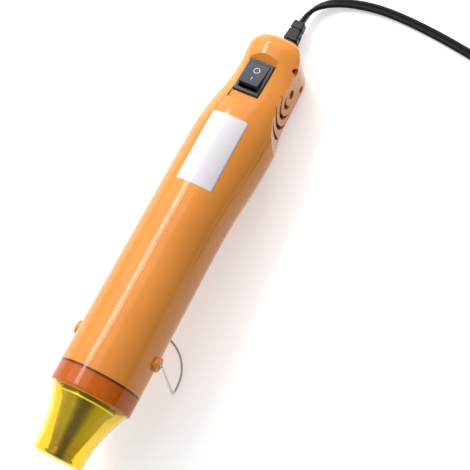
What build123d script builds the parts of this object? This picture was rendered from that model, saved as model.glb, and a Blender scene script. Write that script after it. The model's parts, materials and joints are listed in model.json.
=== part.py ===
from build123d import *
import math
import os

# Embossing heat tool: a hand-held mini hot-air tool for crafts.
# Millimetres. The tool is drawn along X with its nozzle towards -X, its left side towards +Y
# and its switch on top, and x = 0 is the shoulder that the nozzle guard seats on. It is then
# tilted so that it rests on its wire stand and on the underside of its rear end.

# General
wall = 2.0
hairline = 0.05
loose_gap = 0.3
overrun = 20.0
rest_tilt_deg = 6.5

# Housing outline: the four reaches of each section, at even steps along the body
barrel_radius = 22.3
body_length = 204.0
left_shares = (
    1.0, 0.996, 0.991, 0.987, 0.982, 0.978, 0.973, 0.969, 0.955, 0.901, 0.762, 0.691, 0.664,
)
right_shares = (
    1.0, 0.996, 0.991, 0.987, 0.982, 0.982, 1.004, 1.067, 1.117, 1.121, 1.121, 1.121, 1.103,
)
top_shares = (
    1.0, 0.996, 0.991, 0.987, 0.982, 0.978, 0.973, 0.969, 0.962, 0.892, 0.709, 0.686, 0.655,
)
bottom_shares = (
    1.0, 0.996, 0.991, 0.987, 0.982, 0.978, 0.973, 0.969, 0.969, 0.964, 0.96, 0.937, 0.897,
)
end_fillet = 8.0

# Spigot that carries the nozzle guard
spigot_radius = 17.5
spigot_bore_radius = 15.0
spigot_length = 11.5

# Air intake: a flat on the right side, hollowed towards the front and rounded at the rear
intake_reach = 18.1
intake_front_inset = 34.6
intake_rear_inset = 14.5
intake_hollow_radius = 46.0
intake_hollow_deg = 38.0
intake_end_radius = 15.0
grille_inset = 24.0
grille_hole_width = 4.8
grille_hole_height = 7.0
crescent_first_radius = 7.4
crescent_pitch = 5.7
crescent_width = 2.5
crescent_tip_width = 0.7
crescent_half_angles = (54.0, 58.0, 50.0, 25.0)
vent_hole_radius = 2.0
vent_hole_offset = 8.6
vent_hole_rise = 10.0

# Switch and the pocket that it sits in
switch_inset = 28.5
switch_seat_z = 13.6
switch_slope_deg = 6.0
bezel_length = 21.0
bezel_width = 15.0
bezel_height = 1.4
bezel_chamfer_width = 0.6
bezel_chamfer_depth = 0.8
switch_body_length = 18.9
switch_body_width = 12.9
switch_body_depth = 13.5
switch_fit = 0.15
rocker_opening_length = 16.6
rocker_opening_width = 11.2
rocker_length = 14.8
rocker_width = 10.6
rocker_end_rise = 3.0
rocker_middle_rise = 2.3
rocker_foot_length = 5.2
rocker_foot_drop = 3.0
rocker_tilt_deg = 12.0
rocker_pivot_depth = 0.9
rocker_pin_radius = 1.0
rocker_pin_length = 0.8
switch_floor = 1.5
terminal_width = 6.3
terminal_thickness = 0.8
terminal_length = 7.5
terminal_spacing = 11.0
terminal_foot = 1.2
pocket_side_gap = 0.4
pocket_front_length = 16.0
pocket_scoop_deg = 50.0

# Pegs and wire stand
peg_x = 18.8
peg_radius = 4.0
peg_reach = 24.4
peg_fillet = 0.7
peg_bore_depth = 6.0
stand_wire_radius = 0.65
stand_running_clearance = 0.06
stand_lean_deg = 13.5
stand_reach = 26.5
stand_corner_radius = 21.0
stand_bend_radius = 1.3
stand_pin_inset = 0.5

# Nozzle guard
guard_wall = 1.8
guard_collar_length = 11.3
guard_length = 45.3
guard_mouth_radius = 13.8
guard_lip_length = 3.4
guard_corner_radius = 1.0
guard_ring_length = 2.4

# Steel bell nozzle
bell_wall = 0.5
bell_flange_radius = 17.0
bell_skirt_radius = 15.2
bell_skirt_length = 2.2
bell_shoulder_radius = 12.5
bell_shoulder_length = 3.4
bell_outlet_radius = 6.2
bell_taper_length = 24.0
bell_lip_length = 2.6
bell_lip_radius = 0.8

# Heater
sleeve_radius = 14.9
sleeve_wall = 0.6
sleeve_length = 71.0
former_thickness = 0.6
former_tab_length = 7.0
former_coil_radius = 10.9
heater_wire_radius = 0.5
heater_pitch = 6.4
heater_turns = 7
cutout_length = 9.0
cutout_width = 6.0
cutout_height = 3.2
cutout_inset = 12.0

# Motor, fan and their mount
motor_radius = 12.0
motor_length = 27.0
motor_edge_radius = 1.5
motor_nose_radius = 3.5
motor_nose_length = 2.0
shaft_radius = 1.15
shaft_clearance = 0.05
shaft_depth = 8.5
fan_gap = 2.0
fan_to_board_gap = 6.5
fan_hub_radius = 4.6
fan_hub_length = 9.0
fan_radius = 17.6
fan_blades = 6
fan_blade_thickness = 1.1
fan_root_pitch_deg = 52.0
fan_tip_pitch_deg = 30.0
fan_blade_chord = 8.4
mount_radius = 18.9
mount_ring_wall = 1.2
mount_length = 14.0
mount_inset = 5.0
mount_sleeve_wall = 1.3
mount_vanes = 5
mount_vane_thickness = 1.2
rib_thickness = 1.4

# Rectifier board
board_inset = 46.0
board_length = 17.0
board_width = 15.0
board_thickness = 1.4
board_z = -12.5
board_rib_inset = 2.5
diode_radius = 1.2
diode_length = 4.6
diode_spacing = 3.2
diode_count = 4
capacitor_radius = 2.6
capacitor_height = 6.0
capacitor_offset = 4.6

# Housing screws: one along the barrel, one ahead of the motor and one at the rear end
screw_front_share = 0.275
screw_motor_gap = 6.08
screw_rear_inset = 9.18
screw_z_shares = (-0.79, -0.79, 0.24)
screw_boss_radius = 2.5
screw_shank_radius = 0.95
screw_head_radius = 1.9
screw_head_height = 1.4
screw_grip = 3.0
screw_bite = 6.0
screw_fit = 0.05

# Cord boot, clamp and inner wires
boot_z = -9.7
boot_hole_radius = 3.9
boot_anchor_radius = 5.2
boot_anchor_length = 1.8
boot_flange_radius = 4.7
boot_flange_length = 1.0
boot_width = 8.4
boot_height = 7.4
boot_block_length = 6.4
boot_groove_length = 1.1
boot_waist = 5.6
boot_corner_radius = 1.2
boot_notch_length = 1.6
boot_notch_depth = 1.3
boot_taper_share = 0.86
clamp_inset = 15.0
clamp_width = 5.0
clamp_thickness = 2.0
clamp_post_radius = 2.1
clamp_post_offset = 5.9
clamp_screw_radius = 0.9
clamp_head_radius = 1.7
clamp_head_height = 1.2
inner_wire_radius = 0.8
inner_cord_radius = 2.7

# Flat twin cord, drawn as a round tube of its width, with its coil and plug
cord_radius = 2.7
coil_radius = 39.0
coil_gap = 0.6
coil_half_turns_in = 7
coil_half_turns_out = 6
plug_length = 27.0
plug_width = 24.0
plug_waist_width = 15.0
plug_waist_height = 12.0
plug_neck_share = 0.6
plug_waist_share = 0.25
plug_shoulder_share = 0.6
plug_neck_length = 9.0
plug_neck_radius = 4.4
plug_corner_radius = 3.0
blade_length = 17.0
blade_height = 6.3
blade_thickness = 1.5
blade_spacing = 12.7
blade_hole_radius = 1.6
blade_hole_inset = 3.4

# The cord's route from the boot's end, in x and y from that end and z above the surface
cord_route = (
    (23.5, -8.0, 4.4),
    (29.0, -21.5, 3.1),
    (31.5, -41.0, 2.7),
    (29.0, -70.0, 2.7),
    (24.0, -98.0, 2.7),
    (20.0, -124.0, 2.7),
    (20.0, -156.0, 2.7),
)
cord_first_run = 13.0
cord_bend_share = 0.45

# The short tail from the coil's end to the plug: steps across and along its way
tail_route = ((0.0, 10.0), (2.0, 22.0), (3.0, 36.0))


def along_x(x, shape):
    """Puts a shape drawn on the plane of Y and Z at the station x."""
    return Plane(origin=(x, 0, 0), x_dir=(0, 1, 0), z_dir=(1, 0, 0)) * shape


def turned(points):
    """Revolves a closed outline of (x, radius) points about the tool's axis."""
    outline = Polyline(*[(x, r) for x, r in points], close=True)
    return revolve(make_face(outline), axis=Axis.X)


def tube_along_x(start, end, outer, inner=0):
    """A tube or, with no inner radius, a rod along the tool's axis."""
    body = extrude(along_x(start, Circle(outer)), amount=end - start)
    if inner > 0:
        body -= extrude(along_x(start - overrun, Circle(inner)), amount=end - start + 2 * overrun)
    return body


def rod_along_y(x, z, start, end, radius):
    """A rod across the tool, from y = start to y = end."""
    face = Plane(origin=(x, start, z), x_dir=(1, 0, 0), z_dir=(0, 1, 0)) * Circle(radius)
    return extrude(face, amount=end - start)


def point_at(place, x, y, z):
    """Where a point given in a placed frame lies."""
    return (place * Pos(x, y, z)).position


def box_between(x, y, z):
    """A box from three pairs of limits."""
    size = [limits[1] - limits[0] for limits in (x, y, z)]
    middle = [(limits[0] + limits[1]) / 2 for limits in (x, y, z)]
    return Pos(*middle) * Box(*size)


# Housing

def housing_section(x, left, right, top, bottom):
    """One section of the body: four quarter ellipses round the tool's axis."""
    edges = [
        EllipticalCenterArc((0, 0), left, top, start_angle=0, arc_size=90),
        EllipticalCenterArc((0, 0), right, top, start_angle=90, arc_size=90),
        EllipticalCenterArc((0, 0), right, bottom, start_angle=180, arc_size=90),
        EllipticalCenterArc((0, 0), left, bottom, start_angle=270, arc_size=90),
    ]
    return along_x(x, make_face(edges))


def housing_form(inset):
    """The body's smooth form, drawn in by the wall for the cavity."""
    sections = []
    step = (body_length - 2 * inset) / (len(left_shares) - 1)
    for index, shares in enumerate(zip(left_shares, right_shares, top_shares, bottom_shares)):
        reaches = [barrel_radius * share - inset for share in shares]
        sections.append(housing_section(inset + index * step, *reaches))
    form = loft(sections)
    rear = form.faces().sort_by(Axis.X)[-1]
    form = fillet(rear.edges(), end_fillet - inset)
    return form - intake_cutter(inset)


def intake_cutter(inset):
    """What the intake's flat, its front hollow and its rounded rear take off the right side."""
    reach = -(intake_reach - inset)
    far = -(barrel_radius + overrun)
    hollow = intake_hollow_radius + inset
    sweep = math.radians(intake_hollow_deg)
    half = sweep / 2
    front_x = body_length - intake_front_inset
    rear_x = body_length - intake_rear_inset
    start = (front_x - hollow * math.sin(sweep), reach - hollow * (1 - math.cos(sweep)))
    middle = (front_x - hollow * math.sin(half), reach - hollow * (1 - math.cos(half)))
    end_radius = intake_end_radius - inset
    turn = math.sqrt(0.5)
    flat_end = (rear_x, reach)
    round_middle = (rear_x + end_radius * turn, reach + end_radius * (1 - turn))
    round_end = (rear_x + end_radius, reach + end_radius)
    rear = body_length + overrun
    outline = [
        ThreePointArc(start, middle, (front_x, reach)),
        Line((front_x, reach), flat_end),
        ThreePointArc(flat_end, round_middle, round_end),
        Polyline(round_end, (rear, reach + end_radius), (rear, far), (start[0], far), start),
    ]
    height = barrel_radius + overrun
    return Pos(0, 0, -height) * extrude(make_face(outline), amount=2 * height)


def switch_place():
    """The switch's own frame: its seat in the pocket, sloping down to the rear."""
    return Pos(body_length - switch_inset, 0, switch_seat_z) * Rot(0, switch_slope_deg, 0)


def pocket_cutter(inset):
    """The scooped pocket: a flat seat with a slanted wall behind it."""
    half_width = bezel_width / 2 + pocket_side_gap + inset
    rear = bezel_length / 2 + pocket_side_gap + inset
    rise = overrun
    run = rise / math.tan(math.radians(pocket_scoop_deg))
    profile = Polyline(
        (-pocket_front_length, -inset),
        (rear, -inset),
        (rear + run, rise),
        (-pocket_front_length, rise),
        close=True,
    )
    face = Plane(origin=(0, half_width, 0), x_dir=(1, 0, 0), z_dir=(0, -1, 0)) * make_face(profile)
    return switch_place() * extrude(face, amount=2 * half_width)


def switch_hole():
    """The opening that the switch's body drops through."""
    length = switch_body_length + 2 * switch_fit
    width = switch_body_width + 2 * switch_fit
    return switch_place() * Box(length, width, 2 * overrun)


def crescent(radius, half_angle):
    """One grille slot on the plane of X and Z: thick in its middle, thin at its tips."""
    tip = crescent_tip_width / 2
    middle = crescent_width / 2

    def place(reach, angle):
        return (-reach * math.cos(math.radians(angle)), reach * math.sin(math.radians(angle)))

    outer = (
        place(radius + tip, -half_angle),
        place(radius + middle, 0),
        place(radius + tip, half_angle),
    )
    inner = (
        place(radius - tip, half_angle),
        place(radius - middle, 0),
        place(radius - tip, -half_angle),
    )
    return make_face(
        [
            ThreePointArc(*outer),
            Line(outer[2], inner[0]),
            ThreePointArc(*inner),
            Line(inner[2], outer[0]),
        ]
    )


def grille_cutter():
    """The middle slot, the crescents in front of it and the two round vents behind it."""
    slots = [Ellipse(grille_hole_width / 2, grille_hole_height / 2)]
    for index, half_angle in enumerate(crescent_half_angles):
        slots.append(crescent(crescent_first_radius + index * crescent_pitch, half_angle))
    for side in (-1, 1):
        slots.append(Pos(vent_hole_offset, side * vent_hole_rise) * Circle(vent_hole_radius))
    plane = Plane(origin=(body_length - grille_inset, 0, 0), x_dir=(1, 0, 0), z_dir=(0, -1, 0))
    depth = barrel_radius + overrun
    cutters = [extrude(plane * slot, amount=depth) for slot in slots]
    return cutters


def spigot():
    return tube_along_x(-spigot_length, wall, spigot_radius, spigot_bore_radius)


def pegs():
    """The two moulded pegs, each with a bore for the stand's wire."""
    bars = []
    bore = stand_wire_radius + stand_running_clearance
    for side in (-1, 1):
        bar = rod_along_y(peg_x, 0, side * (barrel_radius - wall), side * peg_reach, peg_radius)
        tip = bar.faces().sort_by(Axis.Y)[0 if side < 0 else -1]
        bar = fillet(tip.edges(), peg_fillet)
        bars.append(bar)
    return bars, [
        rod_along_y(peg_x, 0, side * (peg_reach - peg_bore_depth), side * (peg_reach + wall), bore)
        for side in (-1, 1)
    ]


def motor_x():
    """The motor's front end, counted forward from the board through the fan."""
    fan_end = board_x() - board_length / 2 - fan_to_board_gap
    return fan_end - fan_hub_length - fan_gap / 2 - motor_nose_length - motor_length


def board_x():
    return body_length - board_inset


def clamp_x():
    return body_length - clamp_inset


def inner_ribs():
    """Rings and shelves inside the shell that hold the sleeve, the motor mount and the board."""
    ribs = []
    sleeve_end = sleeve_length - spigot_length
    sleeve_seat = sleeve_radius + hairline
    ribs.append(
        tube_along_x(sleeve_end - 2 * rib_thickness, sleeve_end, 2 * barrel_radius, sleeve_seat)
    )
    mount_start = motor_x() + mount_inset
    mount_seat = mount_radius + hairline
    for start in (mount_start, mount_start + mount_length - rib_thickness):
        ribs.append(tube_along_x(start, start + rib_thickness, 2 * barrel_radius, mount_seat))
    shelf_top = board_z - board_thickness / 2
    for side in (-1, 1):
        x = board_x() + side * (board_length / 2 - board_rib_inset)
        reach = 2 * barrel_radius
        ribs.append(
            box_between(
                (x - rib_thickness / 2, x + rib_thickness / 2),
                (-reach, reach),
                (-reach, shelf_top),
            )
        )
    return ribs


def screw_places():
    """Each housing screw's x and z, from the front."""
    stations = (
        body_length * screw_front_share,
        motor_x() - screw_motor_gap,
        body_length - screw_rear_inset,
    )
    return [
        (x, barrel_radius * z_share) for x, z_share in zip(stations, screw_z_shares)
    ]


def clamp_post_places():
    return [(clamp_x(), boot_z + side * clamp_post_offset) for side in (-1, 1)]


def half_space(low_y, high_y):
    """A box round one side of the tool."""
    return box_between(
        (-overrun - spigot_length, body_length + overrun),
        (low_y, high_y),
        (-2 * barrel_radius, 2 * barrel_radius),
    )


def housing():
    """Both shells: the form, hollowed, with its ribs, bosses, pegs and openings."""
    form = housing_form(0)
    cavity = housing_form(wall) - pocket_cutter(wall)
    shell = form - cavity
    bosses = []
    for x, z in screw_places():
        bosses.append(rod_along_y(x, z, -2 * barrel_radius, 2 * barrel_radius, screw_boss_radius))
    for inner in inner_ribs() + bosses:
        shell += inner & form
    bars, bores = pegs()
    shell += [spigot()] + bars
    shell -= pocket_cutter(0)
    shell -= switch_hole()
    shell -= bores
    shell -= tube_along_x(-spigot_length - overrun, 2 * wall, spigot_bore_radius)
    anchor = boot_anchor_radius + hairline
    rear = body_length - wall
    shell -= Pos(0, 0, boot_z) * tube_along_x(rear - overrun, rear, anchor)
    shell -= Pos(0, 0, boot_z) * tube_along_x(rear, rear + overrun, boot_hole_radius + hairline)
    right = shell & half_space(-2 * barrel_radius, 0)
    left = shell & half_space(0, 2 * barrel_radius)
    right -= grille_cutter()
    for x, z in screw_places():
        pilot = screw_shank_radius + screw_fit
        right -= rod_along_y(x, z, -screw_bite - loose_gap, 0, pilot)
        left -= rod_along_y(x, z, 0, screw_grip, pilot)
        left -= rod_along_y(x, z, screw_grip, 2 * barrel_radius, screw_head_radius + loose_gap)
    for x, z in clamp_post_places():
        post = rod_along_y(x, z, -inner_cord_radius, 2 * barrel_radius, clamp_post_radius)
        left += post & form
        pilot = clamp_screw_radius + screw_fit
        left -= rod_along_y(x, z, -inner_cord_radius, screw_bite, pilot)
    return left, right


def housing_screws():
    """Three screws, put in from the left."""
    screws = []
    for x, z in screw_places():
        shank = rod_along_y(x, z, -screw_bite, screw_grip, screw_shank_radius)
        head = rod_along_y(x, z, screw_grip, screw_grip + screw_head_height, screw_head_radius)
        screws.append(shank + head)
    return screws


# Switch

def switch_frame():
    """The bezel and the open box below it, with holes for the rocker's pins."""
    bezel = Pos(0, 0, bezel_height / 2) * Box(bezel_length, bezel_width, bezel_height)
    top = bezel.faces().sort_by(Axis.Z)[-1]
    bezel = chamfer(top.edges(), bezel_chamfer_depth, bezel_chamfer_width)
    body = Pos(0, 0, -switch_body_depth / 2) * Box(
        switch_body_length, switch_body_width, switch_body_depth
    )
    hollow_depth = switch_body_depth - switch_floor + bezel_height
    hollow = Pos(0, 0, bezel_height - hollow_depth / 2) * Box(
        rocker_opening_length, rocker_opening_width, hollow_depth
    )
    frame = bezel + body - hollow
    pin = rocker_pin_radius + shaft_clearance
    pivot_z = bezel_height - rocker_pivot_depth
    pin_reach = rocker_width / 2 + rocker_pin_length + hairline
    frame -= rod_along_y(0, pivot_z, -pin_reach, pin_reach, pin)
    for side in (-1, 1):
        slot = Box(
            terminal_thickness + 2 * hairline, terminal_width + 2 * hairline, 2 * switch_floor
        )
        frame -= Pos(side * terminal_spacing / 2, 0, -switch_body_depth) * slot
    return switch_place() * frame


def switch_rocker():
    """The rocker, pressed down at its rear end."""
    half = rocker_length / 2
    foot = rocker_foot_length / 2
    edge = rocker_end_rise - rocker_middle_rise
    profile = make_face(
        [
            ThreePointArc(
                (-half, rocker_end_rise), (0, rocker_middle_rise), (half, rocker_end_rise)
            ),
            Polyline(
                (half, rocker_end_rise),
                (half - edge, 0),
                (foot, -rocker_foot_drop),
                (-foot, -rocker_foot_drop),
                (edge - half, 0),
                (-half, rocker_end_rise),
            ),
        ]
    )
    plane = Plane(origin=(0, rocker_width / 2, 0), x_dir=(1, 0, 0), z_dir=(0, -1, 0))
    rocker = extrude(plane * profile, amount=rocker_width)
    reach = rocker_width / 2 + rocker_pin_length
    rocker += rod_along_y(0, 0, -reach, reach, rocker_pin_radius)
    pivot_z = bezel_height - rocker_pivot_depth
    return switch_place() * Pos(0, 0, pivot_z) * Rot(0, rocker_tilt_deg, 0) * rocker


def switch_terminals():
    """Two flat tabs through the switch's floor, each with a foot inside it."""
    tabs = []
    floor_top = switch_floor - switch_body_depth
    for side in (-1, 1):
        x = side * terminal_spacing / 2
        tab = box_between(
            (x - terminal_thickness / 2, x + terminal_thickness / 2),
            (-terminal_width / 2, terminal_width / 2),
            (-switch_body_depth - terminal_length, floor_top),
        )
        foot = box_between(
            (x - terminal_foot, x + terminal_foot),
            (-terminal_width / 2, terminal_width / 2),
            (floor_top, floor_top + terminal_thickness),
        )
        tabs.append(switch_place() * (tab + foot))
    return tabs


# Nozzle

def flare_arc(start, end):
    """An arc from one (x, radius) point to another, level with the axis at its end."""
    run = start[0] - end[0]
    drop = start[1] - end[1]
    radius = (run * run + drop * drop) / (2 * drop)
    half = math.asin(run / radius) / 2
    middle = (end[0] + radius * math.sin(half), end[1] + radius * (1 - math.cos(half)))
    return ThreePointArc(start, middle, end)


def rounded_corner(start, end):
    """A quarter arc from a level edge down to a point one radius on and one radius in."""
    radius = start[0] - end[0]
    turn = radius * math.sqrt(0.5)
    return ThreePointArc(start, (start[0] - turn, end[1] + turn), end)


def nozzle_guard():
    """The clear guard: a collar with an inner ring on the spigot, and a flared mouth."""
    mouth = -guard_length
    flare_end = mouth + guard_lip_length
    corner = (guard_corner_radius - guard_collar_length, barrel_radius)
    flare_start = (-guard_collar_length, barrel_radius - guard_corner_radius)
    inner_mouth = guard_mouth_radius - guard_wall
    inner_start = (guard_wall - guard_collar_length, barrel_radius - guard_wall)
    ring = spigot_radius + hairline
    outline = make_face(
        [
            Line((0, barrel_radius), corner),
            rounded_corner(corner, flare_start),
            flare_arc(flare_start, (flare_end, guard_mouth_radius)),
            Polyline(
                (flare_end, guard_mouth_radius),
                (mouth, guard_mouth_radius),
                (mouth, inner_mouth),
                (flare_end, inner_mouth),
            ),
            flare_arc(inner_start, (flare_end, inner_mouth)),
            Polyline(
                inner_start,
                (-guard_ring_length, barrel_radius - guard_wall),
                (-guard_ring_length, ring),
                (0, ring),
                (0, barrel_radius),
            ),
        ]
    )
    return revolve(outline, axis=Axis.X)


def rolled_ring(x, radius, thickness):
    return Pos(x, 0, 0) * Rot(0, 90, 0) * Torus(radius, thickness)


def heater_bell():
    """The spun steel nozzle: a flange on the spigot, a shoulder, a taper and a rolled lip."""
    flange = -spigot_length
    skirt = flange - bell_skirt_length
    shoulder = skirt - bell_shoulder_length
    taper = shoulder - bell_taper_length
    outlet = taper - bell_lip_length
    outer = [
        (flange, bell_flange_radius),
        (flange - bell_wall, bell_flange_radius),
        (flange - bell_wall, bell_skirt_radius),
        (skirt, bell_skirt_radius),
        (shoulder, bell_shoulder_radius),
        (taper, bell_outlet_radius + bell_wall),
        (outlet, bell_outlet_radius + bell_wall),
    ]
    inner = [
        (outlet, bell_outlet_radius),
        (taper, bell_outlet_radius),
        (shoulder + bell_wall, bell_shoulder_radius - bell_wall),
        (skirt + bell_wall, bell_skirt_radius - bell_wall),
        (flange, bell_skirt_radius - bell_wall),
    ]
    lip = rolled_ring(outlet, bell_outlet_radius + bell_lip_radius, bell_lip_radius)
    collar = rolled_ring(taper, bell_outlet_radius + bell_wall, bell_wall)
    return turned(outer + inner) + lip + collar


# Heater

def insulating_sleeve():
    start = bell_wall - spigot_length
    return tube_along_x(
        start, start + sleeve_length - bell_wall, sleeve_radius, sleeve_radius - sleeve_wall
    )


def former_start():
    return bell_wall - spigot_length + former_tab_length / 2


def heater_coil_length():
    return heater_turns * heater_pitch


def mica_former():
    """Two crossed sheets, wide at their ends where they seat in the sleeve."""
    start = former_start()
    length = heater_coil_length() + 2 * former_tab_length
    tab = math.sqrt((sleeve_radius - sleeve_wall - hairline) ** 2 - former_thickness ** 2)
    core = former_coil_radius
    outline = Polyline(
        (0, -tab),
        (former_tab_length, -tab),
        (former_tab_length, -core),
        (length - former_tab_length, -core),
        (length - former_tab_length, -tab),
        (length, -tab),
        (length, tab),
        (length - former_tab_length, tab),
        (length - former_tab_length, core),
        (former_tab_length, core),
        (former_tab_length, tab),
        (0, tab),
        close=True,
    )
    flat = Plane(origin=(start, 0, -former_thickness / 2), x_dir=(1, 0, 0), z_dir=(0, 0, 1))
    sheet = extrude(flat * make_face(outline), amount=former_thickness)
    return sheet + Rot(90, 0, 0) * sheet


def heater_coil():
    """The resistance wire, wound over the former's four edges with straight runs between."""
    corner_reach = former_coil_radius + former_thickness / 2
    reach = corner_reach + math.sqrt(2) * heater_wire_radius + hairline
    start = former_start() + former_tab_length + 2 * heater_wire_radius
    corners_a_turn = 4
    corners = heater_turns * corners_a_turn
    run = heater_coil_length() - 4 * heater_wire_radius
    points = []
    for index in range(corners + 1):
        angle = 2 * math.pi * index / corners_a_turn
        points.append(
            (start + run * index / corners, reach * math.cos(angle), reach * math.sin(angle))
        )
    path = Polyline(*points)
    section = Plane(origin=path @ 0, z_dir=path % 0) * Circle(heater_wire_radius)
    return sweep(section, path=path, transition=Transition.RIGHT)


def thermal_cutout():
    """The small cutout that lies on one sheet near the rear."""
    end = former_start() + heater_coil_length() + 2 * former_tab_length - cutout_inset
    low = former_thickness / 2
    return box_between(
        (end - cutout_length, end),
        (low, low + cutout_width),
        (low, low + cutout_height),
    )


# Motor and fan

def motor_can():
    can = tube_along_x(motor_x(), motor_x() + motor_length, motor_radius)
    can = fillet(can.faces().sort_by(Axis.X)[0].edges(), motor_edge_radius)
    nose_end = motor_x() + motor_length + motor_nose_length
    can += tube_along_x(motor_x() + motor_length, nose_end, motor_nose_radius)
    bore_start = nose_end - shaft_depth
    bore = shaft_radius + shaft_clearance
    return can - tube_along_x(bore_start, nose_end + wall, bore)


def motor_shaft():
    start = motor_x() + motor_length + motor_nose_length - shaft_depth + hairline
    return tube_along_x(start, shaft_end_x(), shaft_radius)


def fan_start():
    return motor_x() + motor_length + motor_nose_length + fan_gap / 2


def shaft_end_x():
    return fan_start() + fan_hub_length - fan_hub_radius / 3


def fan_impeller():
    """A hub pressed on the shaft, with pitched blades."""
    start = fan_start()
    end = start + fan_hub_length
    hub = tube_along_x(start, end, fan_hub_radius)
    hub = fillet(hub.faces().sort_by(Axis.X)[-1].edges(), fan_hub_radius / 3)
    middle = (start + end) / 2
    root = fan_hub_radius - fan_blade_thickness
    blades = []
    for index in range(fan_blades):
        turn = index * 360 / fan_blades
        sections = []
        for reach, pitch in ((root, fan_root_pitch_deg), (fan_radius, fan_tip_pitch_deg)):
            plane = Plane(origin=(middle, 0, reach), x_dir=(1, 0, 0), z_dir=(0, 0, 1))
            blade = Rot(0, 0, 90 - pitch) * Rectangle(fan_blade_chord, fan_blade_thickness)
            sections.append(plane * blade)
        blades.append(Rot(turn, 0, 0) * loft(sections, ruled=True))
    rotor = hub + blades
    rotor = rotor & tube_along_x(start - overrun, end + overrun, fan_radius)
    return rotor - tube_along_x(start - overrun, shaft_end_x(), shaft_radius)


def motor_mount():
    """A ring in the housing's ribs, with vanes to a sleeve round the motor."""
    start = motor_x() + mount_inset + hairline
    end = motor_x() + mount_inset + mount_length - hairline
    ring = tube_along_x(start, end, mount_radius, mount_radius - mount_ring_wall)
    sleeve_inner = motor_radius + hairline
    sleeve_outer = sleeve_inner + mount_sleeve_wall
    sleeve = tube_along_x(start, end, sleeve_outer, sleeve_inner)
    vanes = []
    for index in range(mount_vanes):
        vane = box_between(
            (start, end),
            (-mount_vane_thickness / 2, mount_vane_thickness / 2),
            (sleeve_outer - mount_sleeve_wall / 2, mount_radius - mount_ring_wall / 2),
        )
        vanes.append(Rot(index * 360 / mount_vanes, 0, 0) * vane)
    return ring + sleeve + vanes


# Rectifier

def rectifier_board():
    return Pos(board_x(), 0, board_z) * Box(board_length, board_width, board_thickness)


def diodes():
    """Four diodes in a row on the board."""
    top = board_z + board_thickness / 2
    row = []
    first = -diode_spacing * (diode_count - 1) / 2
    for index in range(diode_count):
        y = first + index * diode_spacing
        start = board_x() - board_length / 2 + diode_radius
        body = tube_along_x(start, start + diode_length, diode_radius)
        row.append(Pos(0, y, top + diode_radius) * body)
    return row


def capacitor():
    top = board_z + board_thickness / 2
    return Pos(board_x() + capacitor_offset, 0, top + capacitor_height / 2) * Cylinder(
        capacitor_radius, capacitor_height
    )


# Cord boot and clamp

def boot_end_x():
    return body_length + boot_flange_length + 2 * boot_block_length + boot_groove_length


def boot_block(start, first_share, last_share):
    """One rubber block of the boot, with a notch in each side."""
    sections = []
    for x, share in ((start, first_share), (start + boot_block_length, last_share)):
        shape = RectangleRounded(boot_width * share, boot_height * share, boot_corner_radius * share)
        sections.append(along_x(x, shape))
    block = loft(sections, ruled=True)
    middle = start + boot_block_length / 2
    for side in (-1, 1):
        outer = side * boot_width
        inner = side * (boot_width / 2 - boot_notch_depth)
        block -= box_between(
            (middle - boot_notch_length / 2, middle + boot_notch_length / 2),
            (min(inner, outer), max(inner, outer)),
            (-boot_height / 4, boot_height / 4),
        )
    return block


def cord_boot():
    """The strain relief: an anchor inside the shell, a neck, a flange and two notched blocks."""
    rear = body_length - wall
    anchor = tube_along_x(rear - boot_anchor_length, rear, boot_anchor_radius)
    neck = tube_along_x(rear, body_length, boot_hole_radius)
    flange_end = body_length + boot_flange_length
    flange = tube_along_x(body_length, flange_end, boot_flange_radius)
    second = flange_end + boot_block_length + boot_groove_length
    waist = extrude(along_x(flange_end, Circle(boot_waist / 2)), amount=second - flange_end)
    boot = anchor + neck + flange + waist
    boot += boot_block(flange_end, 1, 1)
    boot += boot_block(second, 1, boot_taper_share)
    return Pos(0, 0, boot_z) * boot


def cord_clamp():
    """The bar that holds the cord against the shell's two posts."""
    reach = clamp_post_offset + clamp_post_radius
    bar = box_between(
        (clamp_x() - clamp_width / 2, clamp_x() + clamp_width / 2),
        (-inner_cord_radius - clamp_thickness, -inner_cord_radius),
        (boot_z - reach, boot_z + reach),
    )
    for x, z in clamp_post_places():
        hole = clamp_screw_radius + screw_fit
        bar -= rod_along_y(x, z, -inner_cord_radius - 2 * clamp_thickness, 0, hole)
    return bar


def clamp_screws():
    screws = []
    seat = -inner_cord_radius - clamp_thickness
    for x, z in clamp_post_places():
        shank = rod_along_y(x, z, seat, screw_bite - screw_grip, clamp_screw_radius)
        head = rod_along_y(x, z, seat - clamp_head_height, seat, clamp_head_radius)
        screws.append(shank + head)
    return screws


def wire_between(points, radius, bend):
    """A wire of straight runs with rounded corners."""
    path = FilletPolyline(*points, radius=bend)
    section = Plane(origin=path @ 0, z_dir=path % 0) * Circle(radius)
    return sweep(section, path=path)


def inner_cord():
    """The cord's end inside the shell, from the boot through the clamp."""
    start = clamp_x() - clamp_width
    end = body_length - wall - boot_anchor_length
    return Pos(0, 0, boot_z) * tube_along_x(start, end, inner_cord_radius)


def inner_wires():
    """The leads from the cord to the switch and board, and from the board to the motor."""
    bend = 3 * inner_wire_radius
    cord_x = clamp_x() - clamp_width
    offset = inner_cord_radius / 2
    tab_drop = -switch_body_depth - terminal_length
    tab_bottom = point_at(switch_place(), terminal_spacing / 2, 0, tab_drop)
    board_top = board_z + board_thickness / 2
    board_rear = board_x() + board_length / 2
    live = wire_between(
        [
            (cord_x, 0, boot_z + offset),
            (tab_bottom.X, 0, boot_z + offset),
            (tab_bottom.X, 0, tab_bottom.Z),
        ],
        inner_wire_radius,
        min(bend, (tab_bottom.Z - boot_z - offset) / 2),
    )
    neutral = wire_between(
        [
            (cord_x, offset, boot_z - offset),
            ((cord_x + board_rear) / 2, offset, board_top + inner_wire_radius),
            (board_rear - inner_wire_radius, offset, board_top + inner_wire_radius),
        ],
        inner_wire_radius,
        bend,
    )
    return [live, neutral]


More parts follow.
